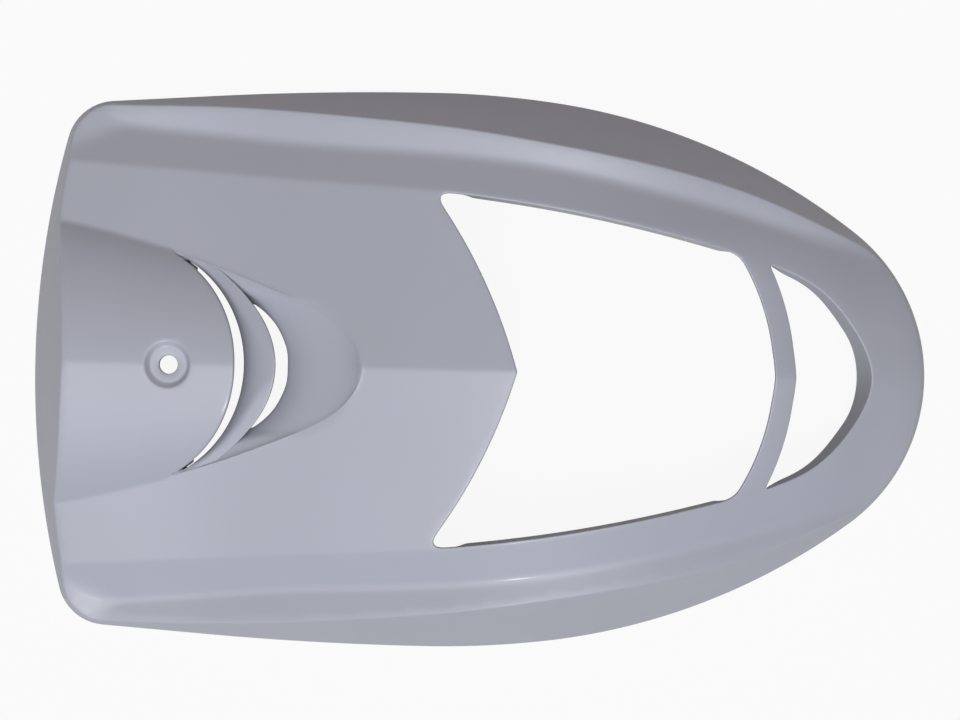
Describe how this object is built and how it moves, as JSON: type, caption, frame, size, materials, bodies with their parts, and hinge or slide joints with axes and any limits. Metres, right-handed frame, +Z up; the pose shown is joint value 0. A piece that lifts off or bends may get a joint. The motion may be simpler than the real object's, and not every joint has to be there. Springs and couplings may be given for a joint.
{
  "type": "scooter headlight panel",
  "caption": "One-piece moulded scooter front panel: ridged shell with a large lamp opening, a louvred scoop, a crescent cut-out behind the nose and a sunk screw seat.",
  "frame": {"origin": "centre of the bounding box at the rim plane, on which the panel rests", "axes": "+X along the panel towards the rounded nose, +Y across it (the panel is symmetric about Y = 0), +Z up from the rim plane to the outer face"},
  "size_m": [0.42, 0.2614, 0.0661],
  "materials": {
    "panel_plastic": "smooth glossy light bluish-grey moulded plastic"
  },
  "bodies": {
    "root": {"headlight_panel": "panel_plastic"}
  },
  "joints": []
}
